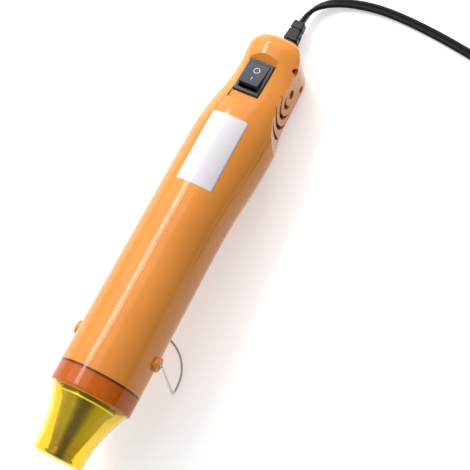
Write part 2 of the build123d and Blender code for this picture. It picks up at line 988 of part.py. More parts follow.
# Stand, cord and plug are drawn where they lie, after the tool is tilted

def stand_wire(hinge):
    """The U of wire: two pins in the pegs, two leaning legs and a loop flat on the surface."""
    lean = math.radians(stand_lean_deg)
    drop = hinge.Z - stand_wire_radius
    foot_x = hinge.X - drop * math.tan(lean)
    leg_y = peg_reach + stand_bend_radius + hairline
    pin_y = peg_reach - peg_bore_depth + stand_pin_inset
    floor = stand_wire_radius
    points = [
        (hinge.X, -pin_y, hinge.Z),
        (hinge.X, -leg_y, hinge.Z),
        (foot_x, -leg_y, floor),
        (foot_x + stand_reach, -leg_y, floor),
        (foot_x + stand_reach, leg_y, floor),
        (foot_x, leg_y, floor),
        (hinge.X, leg_y, hinge.Z),
        (hinge.X, pin_y, hinge.Z),
    ]
    small = stand_bend_radius
    bends = [small, 2 * small, stand_corner_radius, stand_corner_radius, 2 * small, small]
    path = FilletPolyline(*points, radius=bends)
    section = Plane(origin=path @ 0, z_dir=path % 0) * Circle(stand_wire_radius)
    return sweep(section, path=path)


def cord_bends(points):
    """Each corner's radius: as large as its two runs allow."""
    radii = []
    for before, corner, after in zip(points, points[1:], points[2:]):
        first = Vector(*corner) - Vector(*before)
        second = Vector(*after) - Vector(*corner)
        half = math.radians(first.get_angle(second)) / 2
        radii.append(cord_bend_share * min(first.length, second.length) / math.tan(half))
    return radii


def lead_points(exit_point, exit_direction):
    """The free stretch's corners, from the boot's end to the coil."""
    first = exit_point + exit_direction * cord_first_run
    points = [tuple(exit_point), tuple(first)]
    for x, y, z in cord_route:
        points.append((exit_point.X + x, exit_point.Y + y, z))
    return points


def cord_lead(points):
    radii = cord_bends(points)
    print("cord bend radii:", [round(radius, 1) for radius in radii])
    path = FilletPolyline(*points, radius=radii)
    section = Plane(origin=path @ 0, z_dir=path % 0) * Circle(cord_radius)
    lead = sweep(section, path=path)
    print("cord lead length:", round(path.length, 1), "volume ratio:",
          round(lead.volume / (path.length * math.pi * cord_radius ** 2), 4))
    return lead, path.length


def biarc(start, start_direction, end, end_direction):
    """Two arcs, tangent to each other and to both directions."""
    chord = end - start
    both = start_direction + end_direction
    spread = 2 * (1 - start_direction.dot(end_direction))
    along = chord.dot(both)
    reach = (math.sqrt(along * along + spread * chord.dot(chord)) - along) / spread
    first = start + start_direction * reach
    second = end - end_direction * reach
    joint = (first + second) * 0.5
    tangent = (second - first).normalized()
    return [
        Edge.make_tangent_arc(start, start_direction, joint),
        Edge.make_tangent_arc(joint, tangent, end),
    ]


def coil_radii():
    """Each half turn's radius: in along the lower layer, up, and out along the upper one."""
    step = (2 * cord_radius + coil_gap) / 2
    inward = [coil_radius - step * index for index in range(coil_half_turns_in)]
    rising = inward[-1] - step
    outward = [rising + step * (index + 1) for index in range(coil_half_turns_out)]
    return inward, rising, outward


def cord_coil(start):
    """The coiled rest of the cord, one unbroken tube with a straight end at each side."""
    inward, rising, outward = coil_radii()
    layer = Vector(0, 0, 2 * cord_radius + coil_gap)
    straight = 2 * cord_radius
    direction = Vector(0, -1, 0)
    side = Vector(-1, 0, 0)
    point = start + direction * straight
    edges = [Edge.make_line(start, point)]
    for radius in [*inward, rising, *outward]:
        end = point + side * 2 * radius
        if radius == rising:
            end += layer
            edges += biarc(point, direction, end, -direction)
        else:
            edges.append(Edge.make_tangent_arc(point, direction, end))
        point = end
        direction = -direction
        side = -side
    end = point + (side + direction) * coil_radius
    edges.append(Edge.make_tangent_arc(point, direction, end))
    finish = end + side * straight
    edges.append(Edge.make_line(end, finish))
    path = Wire(edges)
    coil = sweep(Plane(origin=start, z_dir=path % 0) * Circle(cord_radius), path=path)
    print("coil length:", round(path.length, 1), "volume ratio:",
          round(coil.volume / (path.length * math.pi * cord_radius ** 2), 4))
    report_self_gap(edges, 2 * cord_radius)
    return coil, finish, path.length


def report_self_gap(edges, diameter):
    """Prints the least gap between the coil's turns, measured on points of its centreline."""
    points = []
    distance = 0
    for edge in edges:
        count = max(8, round(edge.length / diameter))
        for index in range(count):
            points.append((distance + edge.length * index / count, edge @ (index / count)))
        distance += edge.length
    least = math.inf
    for index, (place, point) in enumerate(points):
        for other_place, other in points[index + 1:]:
            if other_place - place > 6 * diameter:
                least = min(least, (other - point).length)
    print("coil least self-gap:", round(least - diameter, 2))


def cord_tail(start):
    """The tail from the coil to the plug, at the height of the coil's upper layer."""
    points = [tuple(start)]
    for across, along in tail_route:
        points.append((start.X - along, start.Y + across, start.Z))
    radii = cord_bends(points)
    print("tail bend radii:", [round(radius, 1) for radius in radii])
    path = FilletPolyline(*points, radius=radii)
    section = Plane(origin=path @ 0, z_dir=path % 0) * Circle(cord_radius)
    end = Vector(*points[-1])
    direction = (end - Vector(*points[-2])).normalized()
    return sweep(section, path=path), end, direction, path.length


def plug_plane(start, direction):
    """The plug's own frame: across it, up, and out along its blades."""
    across = Vector(0, 0, 1).cross(direction)
    return Plane(origin=start, x_dir=across, z_dir=direction)


def plug_body(start, direction):
    """The moulded two-pin plug: a round neck, a waist and a flat-faced head."""
    height = 2 * start.Z
    head = plug_neck_length + plug_length
    sections = [
        (plug_neck_length * plug_neck_share, 2 * plug_neck_radius, 2 * plug_neck_radius),
        (plug_neck_length + plug_length * plug_waist_share, plug_waist_width, plug_waist_height),
        (plug_neck_length + plug_length * plug_shoulder_share, plug_width, height),
        (head, plug_width, height),
    ]
    plane = plug_plane(start, direction)
    faces = []
    for distance, width, tall in sections:
        corner = min(plug_corner_radius, tall / 3)
        faces.append(plane * Pos(0, 0, distance) * RectangleRounded(width, tall, corner))
    body = loft(faces, ruled=True)
    neck = extrude(plane * Circle(plug_neck_radius), amount=plug_neck_length)
    return body + neck


def plug_blades(start, direction):
    """Two flat blades that stand in the plug's face, each with a hole near its tip."""
    face = plug_neck_length + plug_length
    blades = []
    for side in (-1, 1):
        blade = Pos(0, 0, face + blade_length / 2) * Box(
            blade_thickness, blade_height, blade_length
        )
        hole_place = Pos(0, 0, face + blade_length - blade_hole_inset) * Rot(0, 90, 0)
        blade -= hole_place * Cylinder(blade_hole_radius, blade_height)
        offset = Pos(side * blade_spacing / 2, 0, 0)
        blades.append(plug_plane(start, direction).location * offset * blade)
    return blades


def tool_pieces():
    """Every piece that tilts with the tool."""
    left, right = housing()
    return {
        "housing_left": left,
        "housing_right": right,
        "housing_screws": housing_screws(),
        "switch_frame": switch_frame(),
        "switch_rocker": switch_rocker(),
        "switch_terminals": switch_terminals(),
        "nozzle_guard": nozzle_guard(),
        "heater_bell": heater_bell(),
        "insulating_sleeve": insulating_sleeve(),
        "mica_former": mica_former(),
        "heater_coil": heater_coil(),
        "thermal_cutout": thermal_cutout(),
        "motor_can": motor_can(),
        "motor_shaft": motor_shaft(),
        "fan_impeller": fan_impeller(),
        "motor_mount": motor_mount(),
        "rectifier_board": rectifier_board(),
        "diodes": diodes(),
        "capacitor": capacitor(),
        "cord_boot": cord_boot(),
        "cord_clamp": cord_clamp(),
        "clamp_screws": clamp_screws(),
        "inner_cord": inner_cord(),
        "inner_wires": inner_wires(),
    }


def gathered(shape):
    """A node's solids as one shape."""
    if isinstance(shape, (list, ShapeList)):
        return Compound(children=[solid for item in shape for solid in item.solids()])
    return shape


def report_point(name, point):
    print(name + ":", [round(value, 3) for value in point])


def main():
    os.makedirs("parts", exist_ok=True)
    tool = {name: gathered(shape) for name, shape in tool_pieces().items()}
    tilt = Rot(0, rest_tilt_deg, 0)
    tilted = {name: tilt * shape for name, shape in tool.items()}
    floor = min(tilted[name].bounding_box().min.Z for name in ("housing_left", "housing_right"))
    hinge = (tilt * Pos(peg_x, 0, 0)).position
    hinge = Vector(hinge.X, hinge.Y, hinge.Z - floor)
    stand = stand_wire(hinge)
    lifted = {name: Pos(0, 0, -floor) * shape for name, shape in tilted.items()}
    lifted["stand_wire"] = stand
    boxes = [shape.bounding_box() for shape in lifted.values()]
    middle_x = (min(box.min.X for box in boxes) + max(box.max.X for box in boxes)) / 2
    middle_y = (min(box.min.Y for box in boxes) + max(box.max.Y for box in boxes)) / 2
    to_origin = Pos(-middle_x, -middle_y, 0)
    pieces = {name: to_origin * shape for name, shape in lifted.items()}
    place = to_origin * Pos(0, 0, -floor) * tilt
    exit_point = point_at(place, boot_end_x(), 0, boot_z)
    exit_direction = (exit_point - point_at(place, 0, 0, boot_z)).normalized()
    points = lead_points(exit_point, exit_direction)
    lead, lead_length = cord_lead(points)
    coil, coil_end, coil_length = cord_coil(Vector(*points[-1]))
    tail, plug_start, plug_direction, tail_length = cord_tail(coil_end)
    pieces["cord_lead"] = lead
    pieces["cord_coil"] = coil
    pieces["cord_tail"] = tail
    pieces["plug_body"] = plug_body(plug_start, plug_direction)
    pieces["plug_blades"] = gathered(plug_blades(plug_start, plug_direction))
    print("cord length in all:", round(lead_length + coil_length + tail_length, 1))
    pivot_height = bezel_height - rocker_pivot_depth
    report_point("stand hinge", point_at(to_origin, *hinge))
    report_point("rocker pivot", point_at(place * switch_place(), 0, 0, pivot_height))
    report_point("fan axis", point_at(place, fan_start(), 0, 0))
    report_point("guard mouth", point_at(place, -guard_length, 0, 0))
    for name, shape in pieces.items():
        export_step(shape, f"parts/{name}.step")


main()
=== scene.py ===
import json
import math

import bmesh
import bpy
from bpy.props import FloatProperty, FloatVectorProperty, PointerProperty
from bpy.types import Operator, Panel, PropertyGroup
from mathutils import Matrix, Vector
from mathutils.bvhtree import BVHTree


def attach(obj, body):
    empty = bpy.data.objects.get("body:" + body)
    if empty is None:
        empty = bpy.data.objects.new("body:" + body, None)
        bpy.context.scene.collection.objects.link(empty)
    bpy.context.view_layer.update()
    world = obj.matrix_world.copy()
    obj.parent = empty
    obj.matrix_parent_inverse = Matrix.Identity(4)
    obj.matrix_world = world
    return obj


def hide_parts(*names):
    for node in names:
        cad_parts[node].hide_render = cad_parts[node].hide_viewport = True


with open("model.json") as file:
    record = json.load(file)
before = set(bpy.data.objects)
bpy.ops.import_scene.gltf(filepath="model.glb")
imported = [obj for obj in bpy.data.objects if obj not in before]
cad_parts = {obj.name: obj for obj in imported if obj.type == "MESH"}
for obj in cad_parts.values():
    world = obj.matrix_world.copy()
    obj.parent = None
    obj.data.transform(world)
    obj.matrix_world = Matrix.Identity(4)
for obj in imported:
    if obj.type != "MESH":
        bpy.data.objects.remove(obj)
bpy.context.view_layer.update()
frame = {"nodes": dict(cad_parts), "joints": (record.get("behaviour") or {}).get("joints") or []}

bl_info = {
    "name": "Embossing heat tool",
    "version": (1, 0, 0),
    "blender": (4, 5, 0),
    "location": "View3D > Sidebar > Heat tool",
    "description": "Finishes, label plate, switch marks, cord and studio for the heat tool",
    "category": "Object",
}

# The tool's own frame: x to the rear from the guard's shoulder, y to the left, z up out of the top
joints = {joint["name"]: joint for joint in frame["joints"]}
rear_way = Vector(joints["fan_spin"]["axis"]).normalized()
left_way = Vector((0, 1, 0))
top_way = rear_way.cross(left_way)
peg_station = 0.0188
shoulder = Vector(joints["stand_hinge"]["pos_m"]) - rear_way * peg_station


def tool_way(x, y, z):
    """A direction given in the tool's own frame."""
    return rear_way * x + left_way * y + top_way * z


def tool_point(x, y, z):
    """A point given in the tool's own frame, in metres."""
    return shoulder + tool_way(x, y, z)


# Settings

class StageSettings(PropertyGroup):
    """The camera, the floor and the lights"""

    lens: FloatProperty(
        name="Lens", description="Focal length on a 36 mm sensor", default=107.4, unit="CAMERA"
    )
    eye: FloatVectorProperty(
        name="Eye", description="The camera's place in the tool's frame",
        default=(-0.0829, -0.2350, 0.6681), subtype="TRANSLATION", unit="LENGTH",
    )
    look: FloatVectorProperty(
        name="Look", description="The way the camera looks", default=(0.1424, 0.2880, -0.9470),
        subtype="DIRECTION",
    )
    turn: FloatProperty(
        name="Turn", description="How far the tool leans from level in the picture",
        default=math.radians(61.97), subtype="ANGLE",
    )
    floor_colour: FloatVectorProperty(
        name="Floor colour", description="The pale surface under the tool",
        default=(0.9, 0.9, 0.9), subtype="COLOR", min=0, max=1,
    )
    world_light: FloatProperty(
        name="Room light", description="Strength of the even light from all round", default=0.5
    )
    key_power: FloatProperty(
        name="Key power", description="Power of the soft light on the left", default=2.7, unit="POWER"
    )
    strip_power: FloatProperty(
        name="Strip power", description="Power of the narrow light over the barrel", default=0.5,
        unit="POWER",
    )
    band_power: FloatProperty(
        name="Band power", description="Power of the wider light round the narrow one", default=1.6,
        unit="POWER",
    )


class CordSettings(PropertyGroup):
    """The flat twin cord and its coil"""

    width: FloatProperty(
        name="Width", description="Across both conductors", default=0.0054, unit="LENGTH"
    )
    thickness: FloatProperty(
        name="Thickness", description="Across one conductor", default=0.0027, unit="LENGTH"
    )
    length: FloatProperty(
        name="Length", description="From the boot to the plug", default=1.53, unit="LENGTH"
    )
    coil_radius: FloatProperty(
        name="Coil radius", description="Middle of the coil's outermost turn", default=0.039,
        unit="LENGTH",
    )
    coil_pitch: FloatProperty(
        name="Coil pitch", description="From one turn or layer to the next", default=0.006,
        unit="LENGTH",
    )
    turns_in: FloatProperty(
        name="Turns in", description="Turns of the coil's lower layer", default=3.5
    )
    turns_out: FloatProperty(
        name="Turns out", description="Turns of the coil's upper layer", default=3.25
    )
    colour: FloatVectorProperty(
        name="Colour", description="The cord's insulation", default=(0.006, 0.005, 0.006),
        subtype="COLOR", min=0, max=1,
    )


class BootSettings(PropertyGroup):
    """The boot's rubber and its last block"""

    width: FloatProperty(
        name="Width", description="Width of the boot's last block", default=0.0072, unit="LENGTH"
    )
    height: FloatProperty(
        name="Height", description="Height of the boot's last block", default=0.0064, unit="LENGTH"
    )
    corner: FloatProperty(
        name="Corner", description="Radius of the last block's corners", default=0.001,
        unit="LENGTH",
    )
    colour: FloatVectorProperty(
        name="Colour", description="The boot's rubber", default=(0.012, 0.011, 0.014),
        subtype="COLOR", min=0, max=1,
    )


class ShellSettings(PropertyGroup):
    """The shells' plastic, and the strip that closes one slot's tip"""

    colour: FloatVectorProperty(
        name="Colour", description="The glossy moulded plastic", default=(0.82, 0.292, 0.045),
        subtype="COLOR", min=0, max=1,
    )
    gloss_roughness: FloatProperty(
        name="Roughness", description="How soft the plastic's highlights are", default=0.11,
        min=0, max=1,
    )
    seam_width: FloatProperty(
        name="Seam width", description="The parting line between the shells", default=0.00016,
        unit="LENGTH",
    )
    grille_middle: FloatProperty(
        name="Grille middle", description="Where the grille's slots have their common middle",
        default=0.180, unit="LENGTH",
    )
    slot_radius: FloatProperty(
        name="Slot radius", description="Radius of the slot whose upper tip is closed",
        default=0.0188, unit="LENGTH",
    )
    slot_half_width: FloatProperty(
        name="Slot half width", description="Half of that slot's width near its tip, with a margin",
        default=0.00095, unit="LENGTH",
    )
    tip_start: FloatProperty(
        name="Tip start", description="Where the slot leaves the flat", default=math.radians(37.5),
        subtype="ANGLE",
    )
    tip_end: FloatProperty(
        name="Tip end", description="Just past the slot's tip", default=math.radians(51.5),
        subtype="ANGLE",
    )


class NozzleSettings(PropertyGroup):
    """The clear guard and the steel bell"""

    guard_colour: FloatVectorProperty(
        name="Guard colour", description="The clear yellow plastic", default=(0.95, 0.78, 0.12),
        subtype="COLOR", min=0, max=1,
    )
    collar_colour: FloatVectorProperty(
        name="Collar colour", description="The guard's deeper tint round its collar",
        default=(0.66, 0.15, 0.002), subtype="COLOR", min=0, max=1,
    )
    collar_length: FloatProperty(
        name="Collar length", description="How far the deeper tint reaches", default=0.0108,
        unit="LENGTH",
    )
    bell_colour: FloatVectorProperty(
        name="Bell colour", description="The spun steel bell", default=(0.48, 0.49, 0.36),
        subtype="COLOR", min=0, max=1,
    )


class LabelSettings(PropertyGroup):
    """The bare label plate, from the guard's shoulder and the tool's middle"""

    front: FloatProperty(
        name="Front", description="The plate's front edge", default=0.107, unit="LENGTH"
    )
    rear: FloatProperty(
        name="Rear", description="The plate's rear edge", default=0.149, unit="LENGTH"
    )
    left: FloatProperty(
        name="Left", description="The plate's left edge", default=0.0095, unit="LENGTH"
    )
    right: FloatProperty(
        name="Right", description="The plate's right edge", default=-0.0112, unit="LENGTH"
    )
    corner: FloatProperty(
        name="Corner", description="Radius of the plate's corners", default=0.001, unit="LENGTH"
    )
    thickness: FloatProperty(
        name="Thickness", description="The film's thickness", default=0.00012, unit="LENGTH"
    )
    colour: FloatVectorProperty(
        name="Colour", description="The bare white film", default=(0.70, 0.67, 0.71),
        subtype="COLOR", min=0, max=1,
    )


class SwitchSettings(PropertyGroup):
    """The switch's plastic and the two marks on its rocker"""

    colour: FloatVectorProperty(
        name="Colour", description="The switch's black plastic", default=(0.016, 0.0175, 0.0235),
        subtype="COLOR", min=0, max=1,
    )
    off_station: FloatProperty(
        name="Off mark", description="Where the round mark is", default=0.1792, unit="LENGTH"
    )
    off_radius: FloatProperty(
        name="Off radius", description="The round mark's outer radius", default=0.0018,
        unit="LENGTH",
    )
    on_station: FloatProperty(
        name="On mark", description="Where the bar is", default=0.1736, unit="LENGTH"
    )
    on_length: FloatProperty(
        name="On length", description="The bar's length", default=0.0021, unit="LENGTH"
    )
    stroke: FloatProperty(
        name="Stroke", description="Width of the marks' lines", default=0.00042, unit="LENGTH"
    )


# Material helpers, which the world is lit with too

def new_material(name, colour, roughness, metallic=0.0):
    """A material of one colour, and its main shader."""
    material = bpy.data.materials.new(name)
    material.use_nodes = True
    shader = material.node_tree.nodes["Principled BSDF"]
    shader.inputs["Base Color"].default_value = (*colour, 1)
    shader.inputs["Roughness"].default_value = roughness
    shader.inputs["Metallic"].default_value = metallic
    return material, shader


def add_node(material, kind, **values):
    """A new node with its sockets set by name."""
    node = material.node_tree.nodes.new(kind)
    for name, value in values.items():
        node.inputs[name.replace("_", " ")].default_value = value
    return node


def link(material, output, socket):
    material.node_tree.links.new(output, socket)


def show(material, output):
    """Makes a shader the material's surface."""
    link(material, output, material.node_tree.nodes["Material Output"].inputs["Surface"])


def place_of(material):
    """The surface point in the frame that every piece shares."""
    return add_node(material, "ShaderNodeTexCoord").outputs["Object"]


def maths(material, operation, first, second=0.0):
    """One sum; each side is a number or another node's output."""
    node = add_node(material, "ShaderNodeMath")
    node.operation = operation
    for socket, value in zip(node.inputs, (first, second)):
        if isinstance(value, (int, float)):
            socket.default_value = value
        else:
            link(material, value, socket)
    return node.outputs[0]


def noise(material, scale, detail=2.0):
    """Cloudy values that follow from the place alone, so they are the same on every run."""
    node = add_node(material, "ShaderNodeTexNoise", Scale=scale, Detail=detail)
    link(material, place_of(material), node.inputs["Vector"])
    return node.outputs["Fac"]


def spread(material, factor, low, high, start=0.3, end=0.7):
    """Turns a factor that goes from start to end into one from low to high."""
    node = add_node(material, "ShaderNodeMapRange", From_Min=start, From_Max=end, To_Min=low,
                    To_Max=high)
    link(material, factor, node.inputs["Value"])
    return node.outputs["Result"]


def blend_colours(material, factor, first, second):
    """Mixes two colours; each is a triple or another node's output."""
    node = add_node(material, "ShaderNodeMix")
    node.data_type = "RGBA"
    link(material, factor, node.inputs["Factor"])
    for socket, value in zip(node.inputs[6:8], (first, second)):
        if isinstance(value, (tuple, list)):
            socket.default_value = (*value, 1)
        else:
            link(material, value, socket)
    return node.outputs[2]


def shade(colour, share):
    """The colour made darker or lighter."""
    return tuple(value * share for value in colour)


def bump(material, shader, height, strength, depth, under=None):
    """A fine relief on the shader, over another one if there is one under it."""
    node = add_node(material, "ShaderNodeBump", Strength=strength, Distance=depth)
    link(material, height, node.inputs["Height"])
    if under is not None:
        link(material, under, node.inputs["Normal"])
    link(material, node.outputs["Normal"], shader.inputs["Normal"])
    return node.outputs["Normal"]


def part_along(material, vector, way):
    """The part of a vector that lies along a direction."""
    node = add_node(material, "ShaderNodeVectorMath")
    node.operation = "DOT_PRODUCT"
    link(material, vector, node.inputs[0])
    node.inputs[1].default_value = way
    return node.outputs["Value"]


def along(material, way):
    """How far along a direction from the guard's shoulder the surface point lies."""
    reach = part_along(material, place_of(material), way)
    return maths(material, "SUBTRACT", reach, shoulder.dot(way))


def round_axis(material):
    """The surface point's angle round the tool's axis, from its top towards its left."""
    return maths(material, "ARCTAN2", along(material, left_way), along(material, top_way))


def mottled(name, colour, roughness, metallic=0.0, scale=300.0, depth=0.00003, contrast=0.12,
            ior=1.5):
    """A finish with fine colour variation, uneven gloss and a fine surface."""
    material, shader = new_material(name, colour, roughness, metallic)
    shader.inputs["IOR"].default_value = ior
    patch_scale = scale / 6
    gloss_spread = 0.15
    grain = noise(material, scale)
    dark = shade(colour, 1 - contrast)
    light = shade(colour, 1 + contrast)
    link(material, blend_colours(material, grain, dark, light), shader.inputs["Base Color"])
    uneven = spread(material, noise(material, patch_scale), roughness * (1 - gloss_spread),
                    roughness * (1 + gloss_spread))
    link(material, uneven, shader.inputs["Roughness"])
    bump(material, shader, grain, strength=0.5, depth=depth)
    return material


# Mesh helpers

def new_piece(name, rows, faces, material, body, smooth=True):
    """A new mesh piece from rows of points, which rides on a body if one is named."""
    mesh = bpy.data.meshes.new(name)
    mesh.from_pydata([tuple(point) for row in rows for point in row], [], faces)
    mesh.validate()
    piece = bpy.data.objects.new(name, mesh)
    bpy.context.scene.collection.objects.link(piece)
    finish_mesh(mesh, smooth)
    mesh.materials.append(material)
    if body is not None:
        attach(piece, body)
    return piece


def finish_mesh(mesh, smooth):
    """Turns the faces outwards and shades them smooth or flat."""
    shape = bmesh.new()
    shape.from_mesh(mesh)
    bmesh.ops.recalc_face_normals(shape, faces=shape.faces)
    for face in shape.faces:
        face.smooth = smooth
    shape.to_mesh(mesh)
    shape.free()


def dress(material, *names):
    """Gives CAD nodes a finish."""
    for name in names:
        node = frame["nodes"][name]
        node.data.materials.clear()
        node.data.materials.append(material)


def surface_of(*names):
    """The CAD nodes' surfaces, for laying thin pieces on them."""
    points = []
    faces = []
    for name in names:
        mesh = frame["nodes"][name].data
        start = len(points)
        points.extend(vertex.co for vertex in mesh.vertices)
        faces.extend([start + index for index in face.vertices] for face in mesh.polygons)
    return BVHTree.FromPolygons(points, faces)


def drop_onto(surface, x, y, lift):
    """The point over (x, y) in the tool's frame that stands off the surface by the lift."""
    above = 0.05
    hit = surface.ray_cast(tool_point(x, y, above), -top_way)
    if hit[0] is None:
        raise RuntimeError("nothing lies under the thin piece there")
    return hit[0] + top_way * lift


def bands(rows, closed=False):
    """Faces between neighbouring rows of equally many points."""
    count = len(rows[0])
    faces = []
    for row in range(len(rows) - 1):
        for column in range(count if closed else count - 1):
            after = (column + 1) % count
            low = row * count
            high = low + count
            faces.append((low + column, low + after, high + after, high + column))
    return faces


def tube(rows):
    """Faces round a row of outlines, with both ends filled."""
    count = len(rows[0])
    last = count * (len(rows) - 1)
    faces = bands(rows, closed=True)
    faces.append(tuple(range(count)))
    faces.append(tuple(range(last, last + count)))
    return faces


def smooth_step(share):
    """A share from 0 to 1 that starts and ends gently."""
    return share * share * (3 - 2 * share)


# Stage

def place_camera(settings):
    """The photograph's camera, from its place, its aim and its lean."""
    way = Vector(settings.look).normalized()
    level = (rear_way - way * rear_way.dot(way)).normalized()
    across = way.cross(level)
    right = level * math.cos(settings.turn) + across * math.sin(settings.turn)
    up = level * math.sin(settings.turn) - across * math.cos(settings.turn)
    data = bpy.data.cameras.new("photo_camera")
    data.lens = settings.lens
    data.sensor_width = 36.0
    data.clip_start = 0.01
    data.clip_end = 20.0
    camera = bpy.data.objects.new("photo_camera", data)
    bpy.context.scene.collection.objects.link(camera)
    turn = Matrix((right, up, -way)).transposed().to_4x4()
    camera.matrix_world = Matrix.Translation(tool_point(*settings.eye)) @ turn
    bpy.context.scene.camera = camera


def seen_directly(material):
    """1 for rays that show the backdrop: to the camera, in gloss and through clear plastic."""
    rays = add_node(material, "ShaderNodeLightPath").outputs
    seen = maths(material, "MAXIMUM", rays["Is Camera Ray"], rays["Is Glossy Ray"])
    return maths(material, "MAXIMUM", seen, rays["Is Transmission Ray"])


def floor_finish(colour):
    """Pale matt paper, lifted to white where it is seen."""
    glow = 0.4
    material, shader = new_material("pale_paper", colour, roughness=0.9)
    grain = noise(material, scale=9.0)
    link(material, blend_colours(material, grain, shade(colour, 0.99), colour),
         shader.inputs["Base Color"])
    lift = add_node(material, "ShaderNodeEmission")
    link(material, maths(material, "MULTIPLY", seen_directly(material), glow),
         lift.inputs["Strength"])
    both = add_node(material, "ShaderNodeAddShader")
    link(material, shader.outputs["BSDF"], both.inputs[0])
    link(material, lift.outputs["Emission"], both.inputs[1])
    show(material, both.outputs["Shader"])
    return material


def add_floor(colour):
    """A wide sheet, a hair under the surface that the tool rests on."""
    reach = 3.0
    drop = -0.00005
    rows = [[(-reach, y, drop), (reach, y, drop)] for y in (-reach, reach)]
    floor = new_piece("studio_floor", rows, bands(rows), floor_finish(colour), None)


def add_lamp(name, target, way, distance, size, power):
    """A soft rectangular lamp that faces a point, its first side along the tool."""
    data = bpy.data.lights.new(name, "AREA")
    data.shape = "RECTANGLE"
    data.size, data.size_y = size
    data.energy = power
    lamp = bpy.data.objects.new(name, data)
    bpy.context.scene.collection.objects.link(lamp)
    back = way.normalized()
    side = (rear_way - back * rear_way.dot(back)).normalized()
    turn = Matrix((side, back.cross(side), back)).transposed().to_4x4()
    lamp.matrix_world = Matrix.Translation(target + back * distance) @ turn


def light_room(strength):
    """Light from all round, stronger from the tool's left and above, and white where it is seen."""
    bright_way = tool_way(0.3, 0.75, 0.55).normalized()
    dim_facing = -0.7
    bright_facing = 0.9
    dim_share = 0.32
    bright_share = 1.5
    world = bpy.data.worlds.new("studio")
    bpy.context.scene.world = world
    world.use_nodes = True
    background = world.node_tree.nodes["Background"]
    background.inputs["Color"].default_value = (1, 1, 1, 1)
    rays = add_node(world, "ShaderNodeLightPath").outputs
    seen = maths(world, "MAXIMUM", rays["Is Camera Ray"], rays["Is Transmission Ray"])
    sky_way = add_node(world, "ShaderNodeTexCoord").outputs["Generated"]
    slope = spread(world, part_along(world, sky_way, bright_way), strength * dim_share,
                   strength * bright_share, dim_facing, bright_facing)
    level = add_node(world, "ShaderNodeMapRange", To_Max=1.0)
    link(world, slope, level.inputs["To Min"])
    link(world, seen, level.inputs["Value"])
    link(world, level.outputs["Result"], background.inputs["Strength"])


class HEATTOOL_OT_stage(Operator):
    """Places the camera at the photograph's viewing angle, the pale floor and the soft lamps"""

    bl_idname = "heat_tool.stage"
    bl_label = "Stage"

    def execute(self, context):
        settings = context.scene.heat_tool_stage
        place_camera(settings)
        add_floor(tuple(settings.floor_colour))
        light_room(settings.world_light)
        top_height = 0.02
        barrel = tool_point(0.08, 0, top_height)
        switch = tool_point(0.17, 0, top_height)
        over_left = tool_way(0.45, 0.5, 0.75)
        over_barrel = tool_way(0.35, 0.53, 0.82)
        add_lamp("soft_key", switch, over_left, distance=0.55, size=(0.85, 0.85),
                 power=settings.key_power)
        add_lamp("band_light", barrel, over_barrel, distance=0.72, size=(0.55, 0.16),
                 power=settings.band_power)
        add_lamp("strip_light", barrel, over_barrel, distance=0.7, size=(0.5, 0.02),
                 power=settings.strip_power)
        context.scene.view_settings.view_transform = "Standard"
        return {"FINISHED"}


# Cord and plug

# The routes of the free stretch and the tail, and the coil's middle, in metres in the shared frame
lead_route = (
    (0.1313, 0.0, 0.0080),
    (0.1442, 0.0, 0.0065),
    (0.1548, -0.0080, 0.0040),
    (0.1603, -0.0215, 0.0025),
    (0.1628, -0.0410, 0.0020),
    (0.1603, -0.0700, 0.0018),
    (0.1553, -0.0980, 0.0018),
    (0.1513, -0.1240, 0.0022),
    (0.1513, -0.1420, 0.0027),
    (0.1513, -0.1560, 0.0027),
)
coil_middle = (0.1123, -0.1614)
tail_route = (
    (0.1009, -0.2004, 0.0087),
    (0.0909, -0.2004, 0.0087),
    (0.0789, -0.1984, 0.0087),
    (0.0649, -0.1974, 0.0087),
)


def coil_route(settings):
    """In along the lower layer, up to the next in half a turn, and out along it."""
    points = []
    points_a_turn = 16
    pitch = settings.coil_pitch
    rise = 0.5
    back = settings.turns_in + rise
    turns = back + settings.turns_out
    steps = round(turns * points_a_turn)
    for step in range(1, steps):
        turn = turns * step / steps
        climb = min(max((turn - settings.turns_in) / rise, 0.0), 1.0)
        height = settings.width / 2 + pitch * smooth_step(climb)
        radius = settings.coil_radius + pitch / 4 - pitch * turn
        middle = coil_middle[0] - pitch / 4
        if turn > back:
            # The middle steps over by what the radius gains, so the line stays whole
            radius += 2 * pitch * (turn - back) + pitch / 2
            middle -= pitch / 2
        angle = 2 * math.pi * turn
        points.append((
            middle + radius * math.cos(angle),
            coil_middle[1] - radius * math.sin(angle),
            height,
        ))
    return points


def route_line(name, points):
    """The cord's smooth centreline, read from one spline through its route."""
    curve = bpy.data.curves.new(name, "CURVE")
    curve.dimensions = "3D"
    curve.resolution_u = 4
    spline = curve.splines.new("NURBS")
    spline.points.add(len(points) - 1)
    for place, point in zip(spline.points, points):
        place.co = (*point, 1)
    spline.order_u = 3
    spline.use_endpoint_u = True
    guide = bpy.data.objects.new(name, curve)
    mesh = bpy.data.meshes.new_from_object(guide)
    line = [vertex.co.copy() for vertex in mesh.vertices]
    bpy.data.meshes.remove(mesh)
    bpy.data.objects.remove(guide)
    bpy.data.curves.remove(curve)
    return line


def twin_profile(width, thickness):
    """Two round conductors side by side with a web between them."""
    radius = thickness / 2
    offset = width / 2 - radius
    steps = 8
    web_angle = math.radians(152)
    profile = []
    for side in (1, -1):
        for step in range(steps + 1):
            angle = web_angle * (1 - 2 * step / steps)
            if side < 0:
                angle += math.pi
            profile.append((side * offset + radius * math.cos(angle), radius * math.sin(angle)))
    return profile


